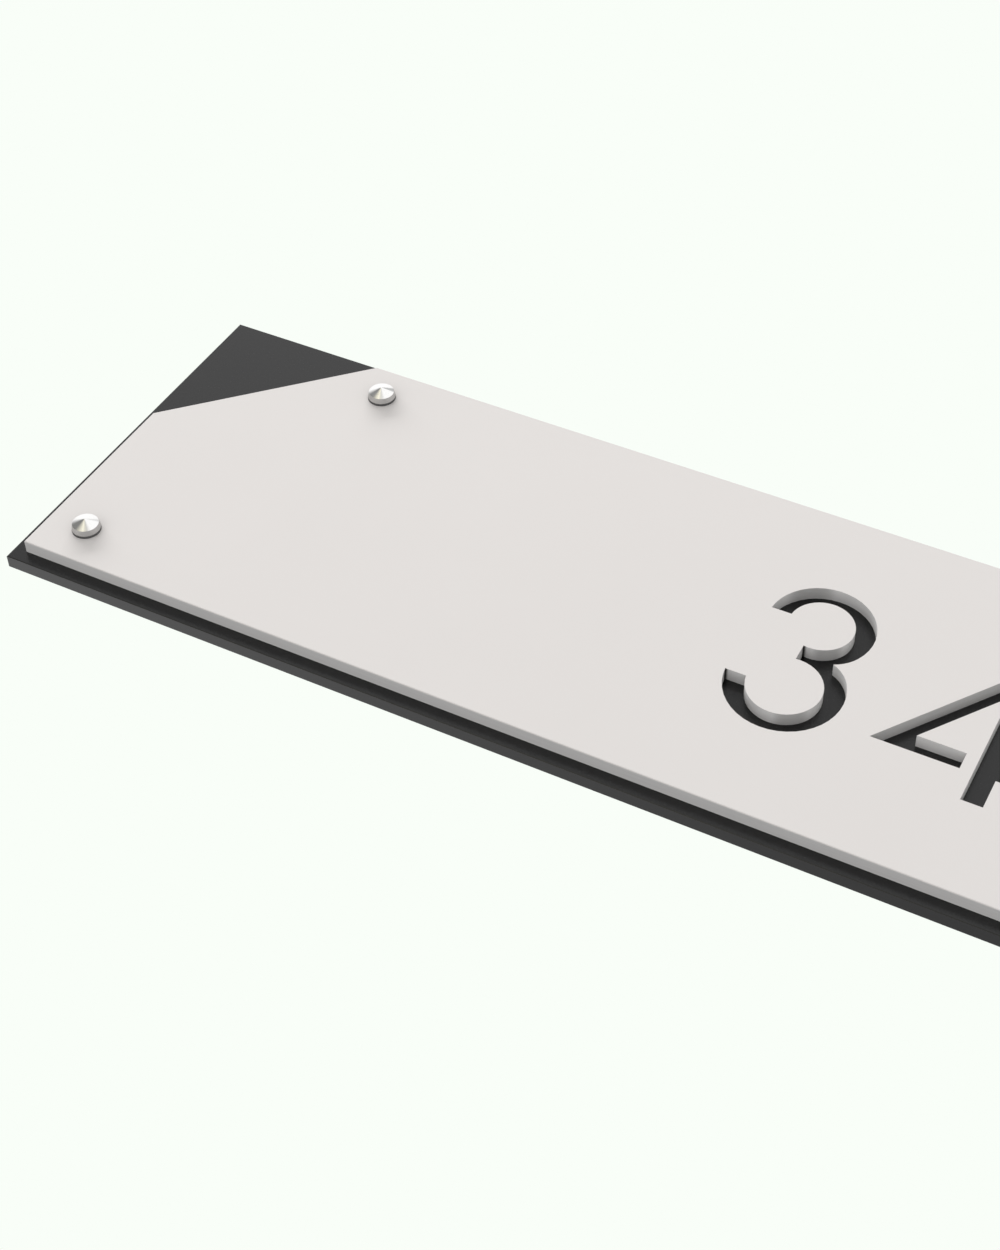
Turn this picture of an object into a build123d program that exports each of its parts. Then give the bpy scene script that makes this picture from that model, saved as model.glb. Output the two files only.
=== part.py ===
from build123d import *
import os

# House number plaque. A pale front plate with stencil-cut digits lies flat on a larger dark back plate,
# and turned fixings with cone heads hold both to the wall.
# X runs the way the number is read, +Z is up and the reader stands on the -Y side.
# The origin is the middle of the wall face. Lengths are in millimetres.

# Plates
plaque_length = 600.0
plaque_height = 150.0
back_thickness = 5.0
front_thickness = 5.0
margin = 5.0  # back plate left showing round the front plate
corner_cut = 61.0  # leg of the cut at the front plate's upper left corner
edge_break = 0.25  # bevel along the plates' front edges

# Number
digit_height = 69.4
digit_gap = 12.3
stroke = 7.4

# The three: an upper and a lower bowl that share a middle arm
upper_radius = 18.5
lower_radius = 20.3
upper_stroke = 7.2
upper_shift = 0.7  # upper bowl's centre, right of the lower one's
counter_rise = 0.2  # upper bowl's inner circle, above its outer one
arm_reach = 1.3  # middle arm's end, left of the lower bowl's centre
upper_terminal_rise = 1.1  # upper end cut, above the upper bowl's centre
lower_terminal_drop = 1.5  # lower end cut, below the lower bowl's centre
waist_angle = 28.0  # where each bowl starts to turn in towards the other, from level
waist_radius = 13.8  # tighter arc from there to the waist

# The four: stem, crossbar and diagonal, with a bridge that holds the counter in place
round_overshoot = 2.2  # how far the round digit stands above the flat-topped one
stem_offset = 34.3  # from the crossbar's left tip to the stem
bar_stroke = 7.0
bar_rise = 12.0  # crossbar's lower edge, above the foot of the stem
bar_stub = 8.0  # crossbar's length beyond the stem
diagonal_stroke = 6.7
apex_flat = 1.8
bridge_width = 4.35

# Fixings
fixing_inset_x = 21.0  # from the plaque's ends
fixing_inset_z = 20.0  # from the plaque's long edges
fixing_past_cut = 11.0  # upper left fixing, beyond the end of the corner cut
cap_diameter = 10.4
cap_rim_height = 2.2
cap_rim_taper = 0.5  # how far the rim draws in on each side, from its foot up to the cone
cap_cone_height = 1.8
cap_edge = 0.2  # bevel on the rim's lower edge
cap_point = 0.25  # radius of the blunted point
shank_diameter = 8.0
shank_bevel = 0.5
shank_recess = 0.5  # end of the shank, short of the wall face
hole_clearance = 0.1  # round the shank, on each side
thread_bore = 4.2
thread_depth = 8.0
thread_bevel = 0.4
drill_point = 1.2  # height of the cone at the end of the blind hole
washer_thickness = 0.9
washer_edge = 0.15  # bevel on the washer's outer edges

wall = Plane.XZ
front_seat = Plane.XZ.offset(back_thickness)
face_depth = back_thickness + front_thickness
washer_seat = Plane.XZ.offset(face_depth)

# Where each fixing stands on the plaque
left_x = -plaque_length / 2 + fixing_inset_x
right_x = plaque_length / 2 - fixing_inset_x
cut_x = -plaque_length / 2 + margin + corner_cut + fixing_past_cut
upper_z = plaque_height / 2 - fixing_inset_z
lower_z = -plaque_height / 2 + fixing_inset_z
fixings = {
    "lower_left": (left_x, lower_z),
    "upper_left": (cut_x, upper_z),
    "upper_right": (right_x, upper_z),
    "lower_right": (right_x, lower_z),
}
hole_radius = shank_diameter / 2 + hole_clearance

# Layout of the number, centred on the plaque
three_width = 2 * lower_radius
four_width = stem_offset + stroke + bar_stub
number_left = -(three_width + digit_gap + four_width) / 2
number_foot = -digit_height / 2
number_top = digit_height / 2

lower_centre = (number_left + lower_radius, number_foot + lower_radius)
upper_centre = (lower_centre[0] + upper_shift, number_top - upper_radius)
arm_end = lower_centre[0] - arm_reach
upper_terminal = upper_centre[1] + upper_terminal_rise
lower_terminal = lower_centre[1] - lower_terminal_drop

with BuildSketch(front_seat) as three:
    # Each bowl is one arc nearly all round, and a tighter one where it turns in to the waist
    for centre, radius, to_waist in ((upper_centre, upper_radius, -1), (lower_centre, lower_radius, 1)):
        turn_in = to_waist * waist_angle
        waist_centre = Vector(centre) + Vector(radius - waist_radius, 0).rotate(Axis.Z, turn_in)
        with BuildLine():
            bowl = CenterArc(centre, radius, turn_in, -to_waist * (270 + waist_angle))
            flank = CenterArc(waist_centre, waist_radius, turn_in, to_waist * (90 - waist_angle))
            Line(bowl @ 1, flank @ 1)
        make_face()
    with Locations(lower_centre):
        Circle(lower_radius - stroke, mode=Mode.SUBTRACT)
    with Locations((upper_centre[0], upper_centre[1] + counter_rise)):
        Circle(upper_radius - upper_stroke, mode=Mode.SUBTRACT)
    # The open side, from the upper end cut down to the lower one
    with Locations((arm_end, lower_terminal)):
        Rectangle(
            three_width,
            upper_terminal - lower_terminal,
            align=(Align.MAX, Align.MIN),
            mode=Mode.SUBTRACT,
        )

tip_x = number_left + three_width + digit_gap
stem_left = tip_x + stem_offset
stem_right = stem_left + stroke
stub_end = stem_right + bar_stub
bar_low = number_foot + bar_rise
bar_high = bar_low + bar_stroke
four_top = number_top - round_overshoot
lean = (stem_right - apex_flat - tip_x) / (four_top - bar_low)
diagonal_run = diagonal_stroke * (1 + lean**2) ** 0.5
counter_x = tip_x + lean * bar_stroke + diagonal_run
counter_top = bar_high + (stem_left - counter_x) / lean

with BuildSketch(front_seat) as four:
    with BuildLine():
        Polyline(
            (stem_left, number_foot),
            (stem_left, counter_top),
            (counter_x, bar_high),
            (stem_left - bridge_width, bar_high),
            (stem_left - bridge_width, bar_low),
            (tip_x, bar_low),
            (stem_right - apex_flat, four_top),
            (stem_right, four_top),
            (stem_right, bar_high),
            (stub_end, bar_high),
            (stub_end, bar_low),
            (stem_right, bar_low),
            (stem_right, number_foot),
            close=True,
        )
    make_face()

with BuildPart() as back_plate:
    with BuildSketch(wall):
        Rectangle(plaque_length, plaque_height)
        with Locations(*fixings.values()):
            Circle(hole_radius, mode=Mode.SUBTRACT)
    extrude(amount=back_thickness)
    chamfer(back_plate.faces().sort_by(Axis.Y)[0].outer_wire().edges(), edge_break)

with BuildPart() as front_plate:
    with BuildSketch(front_seat) as outline:
        Rectangle(plaque_length - 2 * margin, plaque_height - 2 * margin)
        upper_left = outline.vertices().group_by(Axis.X)[0].sort_by(Axis.Y)[-1]
        chamfer(upper_left, corner_cut)
        with Locations(*fixings.values()):
            Circle(hole_radius, mode=Mode.SUBTRACT)
    extrude(amount=front_thickness)
    chamfer(front_plate.faces().sort_by(Axis.Y)[0].outer_wire().edges(), edge_break)
    extrude(three.sketch, amount=front_thickness, mode=Mode.SUBTRACT)
    extrude(four.sketch, amount=front_thickness, mode=Mode.SUBTRACT)

os.makedirs("parts", exist_ok=True)
back_plate.part.label = "back_plate"
export_step(back_plate.part, "parts/back_plate.step")
front_plate.part.label = "front_plate"
export_step(front_plate.part, "parts/front_plate.step")

# Heights along a fixing, measured out from the wall face
thread_end = shank_recess + thread_depth
head_seat = face_depth + washer_thickness
rim_top = head_seat + cap_rim_height
cap_top = rim_top + cap_cone_height

for corner, (x, z) in fixings.items():
    with BuildPart() as washer:
        with BuildSketch(washer_seat):
            with Locations((x, z)):
                Circle(cap_diameter / 2)
                Circle(hole_radius, mode=Mode.SUBTRACT)
        extrude(amount=washer_thickness)
        rims = washer.edges().filter_by(GeomType.CIRCLE)
        chamfer(rims.group_by(SortBy.RADIUS)[-1], washer_edge)
    washer.part.label = f"washer_{corner}"
    export_step(washer.part, f"parts/washer_{corner}.step")

    # Half section of the turned fixing: radius across, distance from the wall upwards
    section = Plane((x, 0, z), x_dir=(1, 0, 0), z_dir=(0, 0, -1))
    with BuildPart() as cap:
        with BuildSketch(section) as profile:
            with BuildLine():
                Polyline(
                    (0, thread_end + drill_point),
                    (thread_bore / 2, thread_end),
                    (thread_bore / 2, shank_recess),
                    (shank_diameter / 2, shank_recess),
                    (shank_diameter / 2, head_seat),
                    (cap_diameter / 2, head_seat),
                    (cap_diameter / 2 - cap_rim_taper, rim_top),
                    (cap_point, cap_top),
                    (0, cap_top),
                    close=True,
                )
            make_face()
            chamfer(profile.vertices().sort_by(Axis.X)[-1], cap_edge)
            bore_mouth, shank_end = profile.vertices().group_by(Axis.Y)[0].sort_by(Axis.X)
            chamfer(bore_mouth, thread_bevel)
            chamfer(shank_end, shank_bevel)
        revolve(axis=Axis((x, 0, z), (0, 1, 0)))
    cap.part.label = f"cap_{corner}"
    export_step(cap.part, f"parts/cap_{corner}.step")
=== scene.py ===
import math

import bmesh
import bpy
from mathutils import Matrix, Vector


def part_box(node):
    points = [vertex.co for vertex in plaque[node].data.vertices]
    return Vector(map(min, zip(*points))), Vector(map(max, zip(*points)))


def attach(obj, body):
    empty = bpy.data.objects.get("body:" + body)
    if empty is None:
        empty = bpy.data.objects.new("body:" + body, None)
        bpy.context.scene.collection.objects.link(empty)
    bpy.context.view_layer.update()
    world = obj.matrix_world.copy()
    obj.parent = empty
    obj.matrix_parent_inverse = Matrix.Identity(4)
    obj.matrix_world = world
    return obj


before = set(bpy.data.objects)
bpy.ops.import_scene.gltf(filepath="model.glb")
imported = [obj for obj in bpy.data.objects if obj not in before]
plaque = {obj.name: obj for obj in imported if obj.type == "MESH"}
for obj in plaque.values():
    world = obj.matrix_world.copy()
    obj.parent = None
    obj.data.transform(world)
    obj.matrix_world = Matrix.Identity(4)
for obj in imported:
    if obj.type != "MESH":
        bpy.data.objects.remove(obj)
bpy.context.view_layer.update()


# Back plate. The larger sheet, which lies on the wall: 5 mm cast acrylic, black right through, with a
# satin face. It is sawn to size and its front arris is just broken. Four holes take the fixings.
black_face = ((0.0035, 0.0035, 0.0036, 1.0), (0.0065, 0.0065, 0.0066, 1.0))
black_cut = ((0.010, 0.010, 0.0102, 1.0), (0.024, 0.024, 0.0243, 1.0))
black_satin = (0.22, 0.30)
black_sawn = (0.26, 0.42)
acrylic_ior = 1.49
cloud_scale = 16.0
tooth_scale = 1800.0
streak_scale = 1500.0
streak_draw = (0.04, 1.0, 0.04)
face_turn = (0.3, 0.6)
sheet_relief = 0.25
sheet_relief_depth = 0.00003


def lay(tree, kind, inputs=(), **settings):
    """Add one node to a finish, with its settings and what goes into it."""
    made = tree.nodes.new("ShaderNode" + kind)
    for name, value in settings.items():
        setattr(made, name, value)
    for socket, value in dict(inputs).items():
        if isinstance(value, bpy.types.NodeSocket):
            tree.links.new(value, made.inputs[socket])
        else:
            made.inputs[socket].default_value = value
    return made


def blend_colour(tree, share, low, high):
    """A colour between two, by a share that varies over the surface."""
    return lay(tree, "Mix", {0: share, 6: low, 7: high}, data_type="RGBA").outputs[2]


def blend_value(tree, share, low, high):
    """A number between two, by a share that varies over the surface."""
    return lay(tree, "Mix", {0: share, 2: low, 3: high}, data_type="FLOAT").outputs[0]


def start_finish(name):
    """A new finish, with its node tree and the shader that stands in it."""
    finish = bpy.data.materials.new(name)
    finish.use_nodes = True
    return finish, finish.node_tree, finish.node_tree.nodes["Principled BSDF"]


def faces_out(tree, low, high):
    """1 on faces that look along Y, towards the reader or the wall, and 0 on edges that look across it."""
    normal = lay(tree, "NewGeometry").outputs["True Normal"]
    along = lay(tree, "SeparateXYZ", {0: normal}).outputs["Y"]
    steep = lay(tree, "Math", {0: along}, operation="ABSOLUTE").outputs[0]
    return lay(tree, "MapRange", {"Value": steep, "From Min": low, "From Max": high}).outputs[0]


def add_relief(tree, shader, strength, depth, height):
    """Fine relief on a surface, from a height that varies over it."""
    relief = lay(tree, "Bump", {"Strength": strength, "Distance": depth, "Height": height})
    tree.links.new(relief.outputs[0], shader.inputs["Normal"])


def sheet_finish(name, face, cut, satin, sawn, wall_shade_painter=None):
    """Plastic sheet: clouded satin faces with a fine tooth, and cut edges with the cutter's streaks."""
    finish, tree, shader = start_finish(name)
    shader.inputs["IOR"].default_value = acrylic_ior
    spot = lay(tree, "TexCoord").outputs["Object"]

    # The face: slow clouding from casting, and the tooth that makes it satin
    clouding = {"Vector": spot, "Scale": cloud_scale, "Detail": 5.0, "Roughness": 0.6}
    cloud = lay(tree, "TexNoise", clouding).outputs["Fac"]
    tooth = lay(tree, "TexNoise", {"Vector": spot, "Scale": tooth_scale, "Detail": 3.0}).outputs["Fac"]
    # The cut: streaks that run along the edge, as the cutter went
    drawn = lay(tree, "VectorMath", {0: spot, 1: streak_draw}, operation="MULTIPLY").outputs[0]
    streaking = {"Vector": drawn, "Scale": streak_scale, "Detail": 4.0, "Roughness": 0.65}
    streak = lay(tree, "TexNoise", streaking).outputs["Fac"]

    is_face = faces_out(tree, *face_turn)
    face_colour = blend_colour(tree, cloud, *face)
    cut_colour = blend_colour(tree, streak, *cut)
    # Painted shade on the cut walls, where it is asked for
    if wall_shade_painter:
        cut_colour = wall_shade_painter(tree, spot, cut_colour)
    tree.links.new(blend_colour(tree, is_face, cut_colour, face_colour), shader.inputs["Base Color"])
    face_rough = blend_value(tree, tooth, *satin)
    cut_rough = blend_value(tree, streak, *sawn)
    tree.links.new(blend_value(tree, is_face, cut_rough, face_rough), shader.inputs["Roughness"])
    height = blend_value(tree, is_face, streak, tooth)
    add_relief(tree, shader, sheet_relief, sheet_relief_depth, height)
    return finish


def dress(node, finish):
    """Give a CAD piece its finish in place of the plain one."""
    node.data.materials.clear()
    node.data.materials.append(finish)


black_sheet = sheet_finish("black_satin_sheet", black_face, black_cut, black_satin, black_sawn)
dress(plaque["back_plate"], black_sheet)


# Front plate. The smaller sheet on top of it: 5 mm pale acrylic with the upper left corner cut off and the
# number cut right through, so that the black sheet shows in the digits. Laser-cut, clamped by the fixings.
pale_face = ((0.722, 0.693, 0.672, 1.0), (0.742, 0.713, 0.692, 1.0))
pale_cut = ((0.63, 0.62, 0.61, 1.0), (0.74, 0.73, 0.72, 1.0))
pale_satin = (0.42, 0.55)
pale_sawn = (0.30, 0.55)

# Painted shade on the number's walls: darker on the walls that face down and to the right, a little more at
# the face
number_reach = 0.066
shade_side = (0.545, 0.0, -0.839)
shade_side_spread = (0.866, 0.9945)
shade_at_face = 0.38
shade_at_seat = 0.32
# Near-black painted shade at two corners of the three: the top of its arm's end, and the outside of its
# lower end
shaded_corners = ((-0.0323, 0.00528), (-0.05124, -0.0159))
corner_shade_spread = (0.0013, 0.0002)
shade_black = (0.02, 0.019, 0.018, 1.0)
face_corner, seat_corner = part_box("front_plate")


def painted_wall_shade(tree, spot, cut_colour):
    """The number's walls: painted shade on those that face down and to the right, and near-black painted
    shade at two corners.
    """
    facing = lay(tree, "NewGeometry").outputs["Normal"]
    turn = lay(tree, "VectorMath", {0: facing, 1: shade_side}, operation="DOT_PRODUCT").outputs["Value"]
    edges = {"Value": turn, "From Min": shade_side_spread[0], "From Max": shade_side_spread[1]}
    shade_side_share = lay(tree, "MapRange", edges, interpolation_type="SMOOTHSTEP").outputs[0]
    depth = lay(tree, "SeparateXYZ", {0: spot}).outputs["Y"]
    edges = {"Value": depth, "From Min": face_corner.y, "From Max": seat_corner.y}
    edges.update({"To Min": shade_at_face, "To Max": shade_at_seat})
    shade_depth_share = lay(tree, "MapRange", edges).outputs[0]
    painted_dark = lay(tree, "Math", {0: shade_side_share, 1: shade_depth_share}, operation="MULTIPLY").outputs[0]
    flat = lay(tree, "VectorMath", {0: spot, 1: (1.0, 0.0, 1.0)}, operation="MULTIPLY").outputs[0]
    reach = lay(tree, "VectorMath", {0: flat}, operation="LENGTH").outputs["Value"]
    inside = lay(tree, "Math", {0: reach, 1: number_reach}, operation="LESS_THAN").outputs[0]
    painted_dark = lay(tree, "Math", {0: painted_dark, 1: inside}, operation="MULTIPLY").outputs[0]
    for x, z in shaded_corners:
        away = lay(tree, "VectorMath", {0: flat, 1: (x, 0.0, z)}, operation="DISTANCE").outputs["Value"]
        spread = {"Value": away, "From Min": corner_shade_spread[0], "From Max": corner_shade_spread[1]}
        corner_dark = lay(tree, "MapRange", spread, interpolation_type="SMOOTHSTEP").outputs[0]
        painted_dark = lay(tree, "Math", {0: painted_dark, 1: corner_dark}, operation="MAXIMUM").outputs[0]
    return blend_colour(tree, painted_dark, cut_colour, shade_black)


# The number's walls get painted shade
pale_sheet = sheet_finish("pale_satin_sheet", pale_face, pale_cut, pale_satin, pale_sawn, painted_wall_shade)
dress(plaque["front_plate"], pale_sheet)


# Washers. A thin black nylon ring under each cap keeps the metal off the pale face. Punched from sheet,
# with its edges broken, and held by the cap's head.
nylon = ((0.060, 0.060, 0.060, 1.0), (0.090, 0.089, 0.088, 1.0))
nylon_rough = (0.45, 0.65)
nylon_ior = 1.53
speck_scale = 2400.0
speck_relief = 0.3
speck_depth = 0.00003
corners = ("lower_left", "upper_left", "upper_right", "lower_right")

black_nylon, tree, shader = start_finish("black_nylon")
shader.inputs["IOR"].default_value = nylon_ior
spot = lay(tree, "TexCoord").outputs["Object"]
speck = lay(tree, "TexNoise", {"Vector": spot, "Scale": speck_scale, "Detail": 3.0}).outputs["Fac"]
tree.links.new(blend_colour(tree, speck, *nylon), shader.inputs["Base Color"])
tree.links.new(blend_value(tree, speck, *nylon_rough), shader.inputs["Roughness"])
add_relief(tree, shader, speck_relief, speck_depth, speck)
for corner in corners:
    dress(plaque["washer_" + corner], black_nylon)


# Caps. Turned from stainless bar: a low cone, polished in the lathe, on a short rim, and a shank that goes
# through both plates. Each screws on to a stud in the wall and clamps the plates.
polished_steel = ((0.82, 0.815, 0.805, 1.0), (0.88, 0.875, 0.865, 1.0))
polished_rough = (0.05, 0.16)
# Rim and shank steel: duller from the tool, and darkened further as painted shade
turned_steel_and_shade = ((0.47, 0.465, 0.46, 1.0), (0.58, 0.575, 0.57, 1.0))
turned_rough = (0.28, 0.42)
bounce_steel = (0.10, 0.10, 0.10, 1.0)
ring_scale = 70.0
ring_relief = 0.12
ring_depth = 0.00002
smear_scale = 5.0
cone_turn = (0.4, 0.7)

# The thread in the shank: M5, with its ridge's foot just sunk in the bore's wall
thread_pitch = 0.0008
thread_foot = 0.00213
thread_crest = 0.00188
thread_inset = 0.0006
thread_length = 0.0071
foot_share = 0.40
crest_share = 0.09
steps_per_turn = 36

bright_steel, tree, shader = start_finish("polished_steel")
shader.inputs["Metallic"].default_value = 1.0
spot = lay(tree, "TexCoord").outputs["Generated"]
centred = lay(tree, "VectorMath", {0: spot, 1: (0.5, 0.0, 0.5)}, operation="SUBTRACT").outputs[0]
across = lay(tree, "VectorMath", {0: centred, 1: (1.0, 0.0, 1.0)}, operation="MULTIPLY").outputs[0]
radius = lay(tree, "VectorMath", {0: across}, operation="LENGTH").outputs["Value"]
depth = lay(tree, "SeparateXYZ", {0: spot}).outputs["Y"]
# Rings left by the tool and the polishing cloth, the same all the way round, and smears from handling
turned = lay(tree, "CombineXYZ", {"X": radius, "Y": depth}).outputs[0]
ringing = {"Vector": turned, "Scale": ring_scale, "Detail": 4.0, "Roughness": 0.6}
ring = lay(tree, "TexNoise", ringing, noise_dimensions="2D").outputs["Fac"]
smear = lay(tree, "TexNoise", {"Vector": spot, "Scale": smear_scale, "Detail": 3.0}).outputs["Fac"]
# The rim and the shank are left as they come off the tool, duller than the cone; their darker colour is
# partly painted shade
polished = faces_out(tree, *cone_turn)
bright_colour = blend_colour(tree, smear, *polished_steel)
dull_and_shaded_colour = blend_colour(tree, ring, *turned_steel_and_shade)
steel_colour = blend_colour(tree, polished, dull_and_shaded_colour, bright_colour)
# Light that the caps throw back on to the plates is held down, so the shadow round each cap stays dark
bounced = lay(tree, "LightPath").outputs["Is Diffuse Ray"]
tree.links.new(blend_colour(tree, bounced, steel_colour, bounce_steel), shader.inputs["Base Color"])
bright_rough = blend_value(tree, ring, *polished_rough)
dull_rough = blend_value(tree, ring, *turned_rough)
tree.links.new(blend_value(tree, polished, dull_rough, bright_rough), shader.inputs["Roughness"])
add_relief(tree, shader, ring_relief, ring_depth, ring)


def finished_piece(name, shape, finish):
    """Turn a worked-out shape into a piece in the scene, with its finish."""
    mesh = bpy.data.meshes.new(name)
    shape.to_mesh(mesh)
    shape.free()
    mesh.materials.append(finish)
    piece = bpy.data.objects.new(name, mesh)
    bpy.context.scene.collection.objects.link(piece)
    return piece


def stud_thread(name, x, z, shank_end):
    """The thread cut in a cap's shank: one ridge wound up the bore, fading in at its mouth and its end."""
    turns = thread_length / thread_pitch
    steps = int(turns * steps_per_turn)
    shape = bmesh.new()
    rows = []
    for step in range(steps + 1):
        share = step / steps
        angle = 2 * math.pi * turns * share
        y = shank_end - thread_inset - thread_length * share
        grown = min(1.0, 2.0 * share * turns, 2.0 * (1 - share) * turns)
        crest = thread_foot + (thread_crest - thread_foot) * grown
        section = (
            (thread_foot, foot_share),
            (crest, crest_share),
            (crest, -crest_share),
            (thread_foot, -foot_share),
        )
        rows.append([
            shape.verts.new((x + r * math.cos(angle), y + rise * thread_pitch, z + r * math.sin(angle)))
            for r, rise in section
        ])
    for near, far in zip(rows, rows[1:]):
        for i in range(len(near) - 1):
            shape.faces.new((near[i], near[i + 1], far[i + 1], far[i]))
    bmesh.ops.recalc_face_normals(shape, faces=shape.faces)
    return finished_piece(name, shape, bright_steel)


for corner in corners:
    dress(plaque["cap_" + corner], bright_steel)
    low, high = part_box("cap_" + corner)
    middle = (low + high) / 2
    ridge = stud_thread("stud_thread_" + corner, middle.x, middle.z, high.y)
    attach(ridge, "root")


# Studio floor. A round of pale matt paint, well below the plaque, which hangs in the air as on a wall. It
# shows itself and the shadow on it, fades into the room, and leaves the light from below to the room.
floor_level = -0.95
floor_plain = 1.2
floor_reach = 3.0
floor_sides = 96
floor_matt = (0.36, 0.36, 0.355, 1.0)
floor_pale = (0.96, 1.0, 0.955, 1.0)
floor_glow = 0.48

floor_paint, tree, shader = start_finish("pale_floor_paint")
tree.nodes.remove(shader)
matt = lay(tree, "BsdfDiffuse", {"Color": floor_matt}).outputs[0]
pale = lay(tree, "Emission", {"Color": floor_pale, "Strength": floor_glow}).outputs[0]
paint = lay(tree, "AddShader", {0: matt, 1: pale}).outputs[0]
clear = lay(tree, "BsdfTransparent").outputs[0]
spot = lay(tree, "TexCoord").outputs["Object"]
out = lay(tree, "VectorMath", {0: spot}, operation="LENGTH").outputs["Value"]
edges = {"Value": out, "From Min": floor_reach, "From Max": floor_plain}
kept = lay(tree, "MapRange", edges, interpolation_type="SMOOTHSTEP").outputs[0]
straight = lay(tree, "LightPath").outputs["Is Camera Ray"]
kept = lay(tree, "Math", {0: kept, 1: straight}, operation="MULTIPLY").outputs[0]
shown = lay(tree, "MixShader", {0: kept, 1: clear, 2: paint}).outputs[0]
tree.links.new(shown, tree.nodes["Material Output"].inputs["Surface"])

shape = bmesh.new()
bmesh.ops.create_circle(shape, cap_ends=True, segments=floor_sides, radius=floor_reach)
floor = finished_piece("studio_floor", shape, floor_paint)
floor.location = (0.0, 0.0, floor_level)


# Room. White all round to the camera. It lights the plaque softly, mostly from in front. What it shows in
# polished and satin surfaces is lamps above a line of screens, with grey cards set up in front of them.
backdrop_white = (0.947, 0.991, 0.939, 1.0)
light_from_below = 0.97
light_from_above = 0.53
light_from_behind = 0.12
front_edge = 0.12
horizon_edge = 0.25
lamp_white = (1.16, 1.16, 1.16, 1.0)
lamp_slope = 0.33
lamp_edge = (-0.08, 0.30)
lamps_behind = 1.18
behind_left = 1.40
behind_right = 0.50
behind_edge = (-0.75, -0.05)
# The line of screens, from the left end to the right: place along it, and colour
screen_line = (
    (0.165, (0.25, 0.25, 0.245, 1.0)),
    (0.370, (1.14, 1.10, 0.92, 1.0)),
    (0.47, (0.58, 0.57, 0.53, 1.0)),
    (0.66, (1.10, 1.10, 1.08, 1.0)),
    (0.90, (0.35, 0.35, 0.345, 1.0)),
)
# The cards: where the middle stands, the degrees from it where a card starts to fade and ends, and its grey
grey_cards = (
    ((-0.02, -0.40, 0.916), 0, 15, 0.56),
    ((-0.24, -0.70, 0.67), 3, 9, 0.42),
    ((-0.57, -0.77, 0.29), 5, 19, 0.30),
)

room = bpy.data.worlds.new("white_room")
room.use_nodes = True
bpy.context.scene.world = room
tree = room.node_tree
tree.nodes.clear()
toward = lay(tree, "TexCoord").outputs["Generated"]
side, ahead, up = lay(tree, "SeparateXYZ", {0: toward}).outputs


def ramp(value, start, stop, low=0.0, high=1.0):
    """A soft change from one level to another, as a direction's share goes from start to stop."""
    edges = {"Value": value, "From Min": start, "From Max": stop, "To Min": low, "To Max": high}
    return lay(tree, "MapRange", edges, interpolation_type="SMOOTHSTEP").outputs[0]


def card(direction, inner, outer):
    """How much of a card shows, by the angle from its middle, in degrees."""
    middle = tuple(Vector(direction).normalized())
    turn = lay(tree, "VectorMath", {0: toward, 1: middle}, operation="DOT_PRODUCT").outputs["Value"]
    return ramp(turn, math.cos(math.radians(outer)), math.cos(math.radians(inner)))


front = ramp(ahead, front_edge, -front_edge)
above = ramp(up, -horizon_edge, horizon_edge)

near_light = blend_value(tree, above, light_from_below, light_from_above)
room_light = blend_value(tree, front, light_from_behind, near_light)

place = lay(tree, "MapRange", {"Value": side, "From Min": -1.0, "From Max": 1.0}).outputs[0]
screens = lay(tree, "ValToRGB", {0: place})
stops = screens.color_ramp.elements
stops.remove(stops[1])
stops[0].position, stops[0].color = screen_line[0]
for position, colour in screen_line[1:]:
    stops.new(position).color = colour
# The lamps' lower edge slopes, lower on the right
skyline = lay(tree, "Math", {0: side, 1: lamp_slope, 2: up}, operation="MULTIPLY_ADD").outputs[0]
ahead_shine = blend_colour(tree, ramp(skyline, *lamp_edge), screens.outputs[0], lamp_white)
for direction, inner, outer, grey in grey_cards:
    ahead_shine = blend_colour(tree, card(direction, inner, outer), ahead_shine, (grey, grey, grey, 1.0))
# Behind the plaque: lamps above, and below them a floor that is bright on the left
floor_shine = ramp(side, *behind_edge, behind_left, behind_right)
behind_shine = blend_value(tree, above, floor_shine, lamps_behind)
room_shine = blend_colour(tree, front, behind_shine, ahead_shine)

path = lay(tree, "LightPath").outputs
seen = blend_colour(tree, path["Is Glossy Ray"], room_light, room_shine)
light = lay(tree, "Background", {"Color": seen, "Strength": 1.0}).outputs[0]
backdrop = lay(tree, "Background", {"Color": backdrop_white, "Strength": 1.0}).outputs[0]
mixed = lay(tree, "MixShader", {0: path["Is Camera Ray"], 1: light, 2: backdrop}).outputs[0]
tree.links.new(mixed, lay(tree, "OutputWorld").inputs["Surface"])


# Key lamp. A long soft box at the upper left that grazes the plaque's face, so that the caps throw their
# shadows down to the right. It stays out of the picture and out of reflections.
toward_key = Vector((-0.6688, -0.2588, 0.6969)).normalized()
key_distance = 5.0

soft_box = bpy.data.lights.new("soft_key", "AREA")
soft_box.shape = "RECTANGLE"
soft_box.size = 5.8
soft_box.size_y = 1.4
soft_box.energy = 330.0
key = bpy.data.objects.new("soft_key", soft_box)
level = Vector((-toward_key.z, 0.0, toward_key.x)).normalized()
key.matrix_world = Matrix((level, toward_key.cross(level), toward_key)).transposed().to_4x4()
key.location = toward_key * key_distance
key.visible_camera = False
key.visible_glossy = False
bpy.context.scene.collection.objects.link(key)


# Camera. It stands below the plaque and to the right of its middle, and looks up at the left half of its
# face, so that the right end is out of the picture.
lens = bpy.data.cameras.new("camera")
lens.sensor_width = 36.0
lens.lens = 60.936
lens.shift_x = -0.0244
lens.shift_y = 0.0004
camera = bpy.data.objects.new("camera", lens)
camera.location = (0.11942, -0.51107, -0.46838)
camera.rotation_euler = (math.radians(134.6), math.radians(-27.4911), math.radians(0.8145))
bpy.context.scene.collection.objects.link(camera)
bpy.context.scene.camera = camera
bpy.context.scene.view_settings.view_transform = "Standard"
